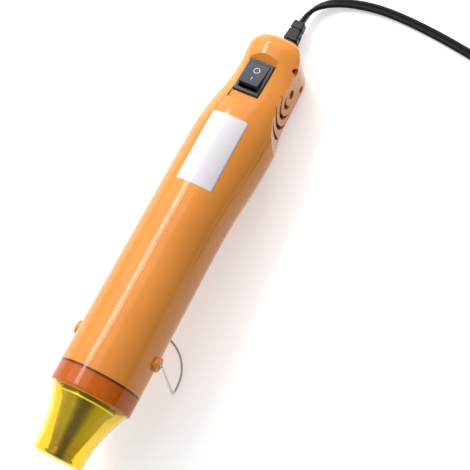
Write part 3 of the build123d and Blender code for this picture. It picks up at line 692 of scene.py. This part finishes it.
def roll_at(distance):
    """How the cord's flat stands: on edge at the boot and in the coil, laid down between."""
    on_edge = 90.0
    stations = ((0.0, on_edge), (0.008, 84.0), (0.032, 12.0), (0.05, 0.0), (0.136, 0.0),
                (0.176, on_edge))
    for (start, first), (end, last) in zip(stations, stations[1:]):
        if distance < end:
            share = smooth_step((distance - start) / (end - start))
            return math.radians(first + (last - first) * share)
    return math.radians(on_edge)


def cord_rows(line, profile):
    """The cord's outline at each point of its line, turned as the cord lies there."""
    rows = []
    distance = 0.0
    last = len(line) - 1
    for index, point in enumerate(line):
        if index > 0:
            distance += (point - line[index - 1]).length
        ahead = (line[min(index + 1, last)] - line[max(index - 1, 0)]).normalized()
        level = ahead.cross(Vector((0, 0, 1))).normalized()
        upright = level.cross(ahead)
        roll = roll_at(distance)
        wide = level * math.cos(roll) + upright * math.sin(roll)
        thin = upright * math.cos(roll) - level * math.sin(roll)
        rows.append([point + wide * u + thin * v for u, v in profile])
    return rows


class HEATTOOL_OT_cord(Operator):
    """Lays the flat twin cord from the boot to its coil and plug"""

    bl_idname = "heat_tool.cord"
    bl_label = "Cord and plug"

    def execute(self, context):
        settings = context.scene.heat_tool_cord
        line = route_line("cord_guide", [*lead_route, *coil_route(settings), *tail_route])
        rows = cord_rows(line, twin_profile(settings.width, settings.thickness))
        rubber = mottled("cord_rubber", tuple(settings.colour), roughness=0.27, scale=900.0,
                         depth=0.00002, contrast=0.25, ior=1.3)
        cord = new_piece("mains_cord", rows, tube(rows), rubber, "tool")
        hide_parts("cord_lead", "cord_coil", "cord_tail")
        moulded = mottled("plug_rubber", shade(settings.colour, 2.5), roughness=0.5, scale=700.0,
                          contrast=0.2)
        dress(moulded, "plug_body")
        brass = mottled("contact_brass", (0.78, 0.60, 0.30), roughness=0.25, metallic=1.0,
                        scale=500.0, contrast=0.06)
        dress(brass, "plug_blades", "switch_terminals")
        return {"FINISHED"}


# Shells

def shell_finish(settings):
    """Glossy moulded plastic with a fine parting line where the shells meet."""
    colour = tuple(settings.colour)
    roughness = settings.gloss_roughness
    seam_core = settings.seam_width * 0.3
    material, shader = new_material("shell_plastic", colour, roughness)
    shader.inputs["IOR"].default_value = 1.43
    cloud = spread(material, noise(material, scale=26.0, detail=3.0), 0.0, 1.0)
    body = blend_colours(material, cloud, shade(colour, 0.94), shade(colour, 1.03))
    axes = add_node(material, "ShaderNodeSeparateXYZ")
    link(material, place_of(material), axes.inputs["Vector"])
    off_seam = maths(material, "ABSOLUTE", axes.outputs["Y"])
    seam = spread(material, off_seam, 1.0, 0.0, seam_core, settings.seam_width)
    link(material, blend_colours(material, seam, body, shade(colour, 0.75)),
         shader.inputs["Base Color"])
    gloss = spread(material, noise(material, scale=70.0, detail=3.0), roughness * 0.8,
                   roughness * 1.3)
    link(material, gloss, shader.inputs["Roughness"])
    waves = noise(material, scale=45.0, detail=1.0)
    ripple = bump(material, shader, waves, strength=0.25, depth=0.0004)
    grain = noise(material, scale=900.0)
    bump(material, shader, grain, strength=0.04, depth=0.00003, under=ripple)
    return material


def slot_tip(surface, settings):
    """A strip over the part of a slot that runs up past the flat onto the rounded side."""
    steps = 10
    across = 4
    outside = -0.04
    lift = 0.00003
    rows = []
    for step in range(steps + 1):
        angle = settings.tip_start + (settings.tip_end - settings.tip_start) * step / steps
        sides = []
        for side in (-1, 1):
            reach = settings.slot_radius + side * settings.slot_half_width
            x = settings.grille_middle - reach * math.cos(angle)
            hit = surface.ray_cast(tool_point(x, outside, reach * math.sin(angle)), left_way)
            if hit[0] is None:
                raise RuntimeError("the slot's tip has no shell beside it")
            sides.append(hit[0] - left_way * lift)
        rows.append([sides[0].lerp(sides[1], share / across) for share in range(across + 1)])
    return rows


class HEATTOOL_OT_shells(Operator):
    """Finishes both housing shells and the screws that join them"""

    bl_idname = "heat_tool.shells"
    bl_label = "Shells"

    def execute(self, context):
        settings = context.scene.heat_tool_shell
        plastic = shell_finish(settings)
        dress(plastic, "housing_left", "housing_right")
        rows = slot_tip(surface_of("housing_right"), settings)
        new_piece("slot_tip", rows, bands(rows), plastic, "tool")
        steel = mottled("screw_steel", (0.52, 0.52, 0.53), roughness=0.32, metallic=1.0,
                        scale=800.0, contrast=0.08)
        dress(steel, "housing_screws", "clamp_screws")
        return {"FINISHED"}


# Nozzle

def guard_finish(settings):
    """Clear tinted plastic, deeper and cloudy round its collar, that lets the lamps through."""
    colour = tuple(settings.guard_colour)
    collar = tuple(settings.collar_colour)
    seam_colour = (collar[0] * 0.3, collar[1] * 0.12, 0.0)
    collar_end = -settings.collar_length
    collar_fade = 0.0006
    seam_start = -0.0016
    seam_end = -0.0008
    collar_clearness = 0.3
    material, shader = new_material("clear_guard", colour, roughness=0.05)
    station = along(material, rear_way)
    tint = spread(material, station, 0.0, 1.0, collar_end - collar_fade, collar_end)
    seam = spread(material, station, 0.0, 1.0, seam_start, seam_end)
    deep = blend_colours(material, seam, collar, seam_colour)
    link(material, blend_colours(material, tint, colour, deep), shader.inputs["Base Color"])
    clearness = spread(material, tint, 1.0, collar_clearness, 0.0, 1.0)
    link(material, clearness, shader.inputs["Transmission Weight"])
    shader.inputs["IOR"].default_value = 1.4
    bump(material, shader, noise(material, scale=120.0), strength=0.1, depth=0.0002)
    clear = add_node(material, "ShaderNodeBsdfTransparent", Color=(*colour, 1))
    rays = add_node(material, "ShaderNodeLightPath").outputs
    mix = add_node(material, "ShaderNodeMixShader")
    link(material, rays["Is Shadow Ray"], mix.inputs["Fac"])
    link(material, shader.outputs["BSDF"], mix.inputs[1])
    link(material, clear.outputs["BSDF"], mix.inputs[2])
    show(material, mix.outputs["Shader"])
    return material


def bell_finish(colour):
    """Spun steel: fine rings, a heat tint towards its mouth, a painted highlight on the skirt's edge,
    painted shade on the skirt, and dark streaks of painted reflection.
    """
    ring_scale = 2600.0
    hot_end = -0.044
    cool_end = -0.025
    heat_colour = (colour[0] * 0.75, colour[1] * 0.62, colour[2] * 0.45)
    # The dark streaks round the bell are painted reflection: dark bands at set angles round the axis.
    streak_angle = 0.30
    streaks_round = 3.0
    dark_reflection_depth = 0.88
    dark_reflection_colour = (0.06, 0.05, 0.025)
    # Painted shade: a dark band on the skirt just under the collar.
    skirt_end = -0.0137
    skirt_fade = 0.0004
    skirt_shade_depth = 0.7
    skirt_shade_colour = (0.06, 0.06, 0.03)
    # Painted highlight: a bright ring along the skirt's lower edge.
    highlight_half_width = 0.0006
    material, shader = new_material("spun_steel", colour, roughness=0.26, metallic=1.0)
    station = along(material, rear_way)
    rings = add_node(material, "ShaderNodeTexNoise", Detail=3.0)
    rings.noise_dimensions = "1D"
    link(material, maths(material, "MULTIPLY", station, ring_scale), rings.inputs["W"])
    heat = spread(material, station, 1.0, 0.0, hot_end, cool_end)
    cloud = blend_colours(material, noise(material, scale=160.0), shade(colour, 0.85), colour)
    browned = blend_colours(material, heat, cloud, heat_colour)
    # Painted reflection: dark streaks by the angle round the axis.
    turned = maths(material, "ADD", round_axis(material), streak_angle)
    wave = maths(material, "COSINE", maths(material, "MULTIPLY", turned, streaks_round))
    painted_reflection_streaks = spread(material, wave, 0.0, dark_reflection_depth, 0.2, 0.95)
    with_painted_reflection = blend_colours(material, painted_reflection_streaks, browned, dark_reflection_colour)
    # Painted shade on the skirt under the collar.
    skirt = spread(material, station, 0.0, skirt_shade_depth, skirt_end, skirt_end + skirt_fade)
    shaded = blend_colours(material, skirt, with_painted_reflection, skirt_shade_colour)
    off_edge = maths(material, "ABSOLUTE", maths(material, "SUBTRACT", station, skirt_end))
    # Painted highlight along the skirt's edge.
    edge = spread(material, off_edge, 1.0, 0.0, highlight_half_width / 2, highlight_half_width)
    link(material, blend_colours(material, edge, shaded, shade(colour, 1.8)),
         shader.inputs["Base Color"])
    link(material, spread(material, rings.outputs["Fac"], 0.2, 0.36), shader.inputs["Roughness"])
    bump(material, shader, rings.outputs["Fac"], strength=0.3, depth=0.00003)
    return material


class HEATTOOL_OT_nozzle(Operator):
    """Finishes the clear guard and the steel bell inside it"""

    bl_idname = "heat_tool.nozzle"
    bl_label = "Nozzle"

    def execute(self, context):
        settings = context.scene.heat_tool_nozzle
        dress(guard_finish(settings), "nozzle_guard")
        dress(bell_finish(tuple(settings.bell_colour)), "heater_bell")
        return {"FINISHED"}


# Heater, motor and electrics

class HEATTOOL_OT_heater(Operator):
    """Finishes the sleeve, the mica former, its winding and the cutout"""

    bl_idname = "heat_tool.heater"
    bl_label = "Heater"

    def execute(self, context):
        mica = mottled("mica", (0.55, 0.49, 0.38), roughness=0.42, scale=220.0, contrast=0.3)
        wire = mottled("heater_wire", (0.30, 0.26, 0.24), roughness=0.45, metallic=1.0,
                       scale=600.0, contrast=0.25)
        ceramic = mottled("cutout_ceramic", (0.78, 0.75, 0.68), roughness=0.6, scale=900.0,
                          contrast=0.06)
        dress(mica, "insulating_sleeve", "mica_former")
        dress(wire, "heater_coil")
        dress(ceramic, "thermal_cutout")
        return {"FINISHED"}


class HEATTOOL_OT_motor(Operator):
    """Finishes the motor, its shaft, the fan and the mount"""

    bl_idname = "heat_tool.motor"
    bl_label = "Motor and fan"

    def execute(self, context):
        can = mottled("motor_steel", (0.56, 0.56, 0.55), roughness=0.34, metallic=1.0,
                      scale=400.0, contrast=0.08)
        fan = mottled("fan_plastic", (0.05, 0.05, 0.05), roughness=0.45, scale=500.0,
                      contrast=0.2)
        mount = mottled("mount_plastic", (0.74, 0.70, 0.62), roughness=0.5, scale=500.0,
                        contrast=0.06)
        dress(can, "motor_can", "motor_shaft")
        dress(fan, "fan_impeller")
        dress(mount, "motor_mount", "cord_clamp")
        return {"FINISHED"}


class HEATTOOL_OT_electrics(Operator):
    """Finishes the board, its parts and the wires inside"""

    bl_idname = "heat_tool.electrics"
    bl_label = "Electrics"

    def execute(self, context):
        board = mottled("board_laminate", (0.05, 0.16, 0.06), roughness=0.4, scale=900.0,
                        contrast=0.2)
        part = mottled("component_black", (0.02, 0.02, 0.02), roughness=0.5, scale=900.0,
                       contrast=0.3)
        wire = mottled("wire_insulation", (0.30, 0.05, 0.02), roughness=0.4, scale=700.0,
                       contrast=0.15)
        dress(board, "rectifier_board")
        dress(part, "diodes", "capacitor")
        dress(wire, "inner_wires")
        return {"FINISHED"}


# The last block's outlines: how far past the boot, and the shares of its width and height
boot_tip_rows = (
    (-0.0003, 0.64, 0.86),
    (0.0010, 0.64, 0.86),
    (0.0010, 0.93, 0.94),
    (0.0013, 1.00, 1.00),
    (0.0052, 0.93, 0.95),
    (0.0057, 0.84, 0.88),
)


def boot_tip(settings):
    """Rows of points for the boot's last, smaller block round the cord."""
    boot_end = Vector(lead_route[0])
    corner_steps = 4
    corner = settings.corner
    quarters = ((1, 1), (-1, 1), (-1, -1), (1, -1))
    rows = []
    for station, wide, high in boot_tip_rows:
        row = []
        for quarter, (side, level) in enumerate(quarters):
            for step in range(corner_steps + 1):
                angle = math.pi / 2 * (quarter + step / corner_steps)
                y = side * (settings.width / 2 - corner) + corner * math.cos(angle)
                z = level * (settings.height / 2 - corner) + corner * math.sin(angle)
                row.append(boot_end + rear_way * station + left_way * y * wide
                           + top_way * z * high)
        rows.append(row)
    return rows


class HEATTOOL_OT_boot(Operator):
    """Finishes the rubber boot and the cord's end inside the shells"""

    bl_idname = "heat_tool.boot"
    bl_label = "Boot"

    def execute(self, context):
        settings = context.scene.heat_tool_boot
        rubber = mottled("boot_rubber", tuple(settings.colour), roughness=0.4, scale=700.0,
                         contrast=0.25, ior=1.4)
        dress(rubber, "cord_boot")
        rows = boot_tip(settings)
        new_piece("boot_tip", rows, tube(rows), rubber, "tool", smooth=False)
        dress(bpy.data.materials["cord_rubber"], "inner_cord")
        return {"FINISHED"}


class HEATTOOL_OT_stand(Operator):
    """Finishes the wire stand"""

    bl_idname = "heat_tool.stand"
    bl_label = "Stand"

    def execute(self, context):
        steel = mottled("stand_steel", (0.60, 0.59, 0.60), roughness=0.18, metallic=1.0,
                        scale=900.0)
        dress(steel, "stand_wire")
        return {"FINISHED"}


# Switch and label

def ring_mark(surface, station, radius, stroke, lift):
    """The off mark: a ring laid on the rocker."""
    rows = []
    steps = 40
    for reach in (radius, radius - stroke):
        row = []
        for step in range(steps):
            angle = 2 * math.pi * step / steps
            x = station + reach * math.cos(angle)
            row.append(drop_onto(surface, x, reach * math.sin(angle), lift))
        rows.append(row)
    return rows, bands(rows, closed=True)


def bar_mark(surface, station, length, stroke, lift):
    """The on mark: a short bar laid on the rocker."""
    rows = []
    steps = 6
    for side in (-0.5, 0.5):
        row = []
        for step in range(steps + 1):
            x = station + length * (step / steps - 0.5)
            row.append(drop_onto(surface, x, side * stroke, lift))
        rows.append(row)
    return rows, bands(rows)


def thicken(piece, thickness):
    """Gives a thin piece its thickness, downwards from its top face."""
    solid = piece.modifiers.new("thickness", "SOLIDIFY")
    solid.thickness = thickness
    solid.offset = -1.0


class HEATTOOL_OT_switch(Operator):
    """Finishes the switch and prints its two marks on the rocker"""

    bl_idname = "heat_tool.switch"
    bl_label = "Switch"

    def execute(self, context):
        settings = context.scene.heat_tool_switch
        colour = tuple(settings.colour)
        gloss = mottled("switch_gloss", colour, roughness=0.26, scale=2200.0, depth=0.00002,
                        contrast=0.2)
        # The rocker is a lighter copy of the switch plastic: partly a soft matt finish, partly
        # painted sheen on its top.
        satin_and_painted_sheen = mottled("switch_satin_and_painted_sheen", shade(colour, 2.8), roughness=0.4, scale=2200.0,
                        depth=0.00002, contrast=0.2)
        dress(gloss, "switch_frame")
        dress(satin_and_painted_sheen, "switch_rocker")
        paint = mottled("mark_paint", (0.80, 0.80, 0.80), roughness=0.5, scale=900.0,
                        contrast=0.05)
        surface = surface_of("switch_rocker")
        lift = 0.00006
        marks = {
            "mark_off": ring_mark(surface, settings.off_station, settings.off_radius,
                                  settings.stroke, lift),
            "mark_on": bar_mark(surface, settings.on_station, settings.on_length,
                                settings.stroke, lift),
        }
        for name, (rows, faces) in marks.items():
            mark = new_piece(name, rows, faces, paint, "rocker")
            thicken(mark, lift)
        return {"FINISHED"}


def label_sheet(settings):
    """Rows of points over the barrel, drawn in at both ends for the plate's round corners."""
    surface = surface_of("housing_left", "housing_right")
    corner = settings.corner
    length = settings.rear - settings.front
    run = length - 2 * corner
    corner_shares = (0.0, 0.1, 0.3, 0.6)
    inner_steps = 20
    columns = 24
    stations = [corner * share for share in corner_shares]
    stations += [corner + run * step / inner_steps for step in range(inner_steps + 1)]
    stations += [length - corner * share for share in reversed(corner_shares)]
    rows = []
    for station in stations:
        inset = max(corner - station, corner - (length - station), 0.0)
        shrink = corner - math.sqrt(corner * corner - inset * inset)
        low = settings.right + shrink
        high = settings.left - shrink
        row = []
        for column in range(columns + 1):
            y = low + (high - low) * column / columns
            row.append(drop_onto(surface, settings.front + station, y, settings.thickness))
        rows.append(row)
    return rows


class HEATTOOL_OT_label(Operator):
    """Lays the bare label plate over the top of the barrel"""

    bl_idname = "heat_tool.label"
    bl_label = "Label plate"

    def execute(self, context):
        settings = context.scene.heat_tool_label
        rows = label_sheet(settings)
        film = mottled("label_film", tuple(settings.colour), roughness=0.3, scale=500.0,
                       depth=0.00001, contrast=0.015)
        label = new_piece("label_plate", rows, bands(rows), film, "tool")
        thicken(label, settings.thickness)
        return {"FINISHED"}


# Panel and registration

class HEATTOOL_PT_panel(Panel):
    """Lists the tool's pieces and their settings"""

    bl_idname = "HEATTOOL_PT_panel"
    bl_label = "Heat tool"
    bl_space_type = "VIEW_3D"
    bl_region_type = "UI"
    bl_category = "Heat tool"

    def draw(self, context):
        layout = self.layout
        for name, group in setting_groups.items():
            box = layout.box()
            box.label(text=group.__name__.replace("Settings", ""))
            for key in group.__annotations__:
                box.prop(getattr(context.scene, name), key)
        for operator in operators:
            layout.operator(operator.bl_idname)


setting_groups = {
    "heat_tool_stage": StageSettings,
    "heat_tool_cord": CordSettings,
    "heat_tool_boot": BootSettings,
    "heat_tool_shell": ShellSettings,
    "heat_tool_nozzle": NozzleSettings,
    "heat_tool_label": LabelSettings,
    "heat_tool_switch": SwitchSettings,
}
operators = (
    HEATTOOL_OT_stage,
    HEATTOOL_OT_cord,
    HEATTOOL_OT_shells,
    HEATTOOL_OT_nozzle,
    HEATTOOL_OT_heater,
    HEATTOOL_OT_motor,
    HEATTOOL_OT_electrics,
    HEATTOOL_OT_boot,
    HEATTOOL_OT_stand,
    HEATTOOL_OT_switch,
    HEATTOOL_OT_label,
)
kinds = (*setting_groups.values(), *operators, HEATTOOL_PT_panel)


def register():
    for kind in kinds:
        bpy.utils.register_class(kind)
    for name, group in setting_groups.items():
        setattr(bpy.types.Scene, name, PointerProperty(type=group))


def unregister():
    for name in setting_groups:
        delattr(bpy.types.Scene, name)
    for kind in reversed(kinds):
        bpy.utils.unregister_class(kind)


def main():
    register()
    bpy.ops.heat_tool.stage()
    bpy.ops.heat_tool.cord()
    bpy.ops.heat_tool.shells()
    bpy.ops.heat_tool.nozzle()
    bpy.ops.heat_tool.heater()
    bpy.ops.heat_tool.motor()
    bpy.ops.heat_tool.electrics()
    bpy.ops.heat_tool.boot()
    bpy.ops.heat_tool.stand()
    bpy.ops.heat_tool.switch()
    bpy.ops.heat_tool.label()


if __name__ == "__main__":
    main()
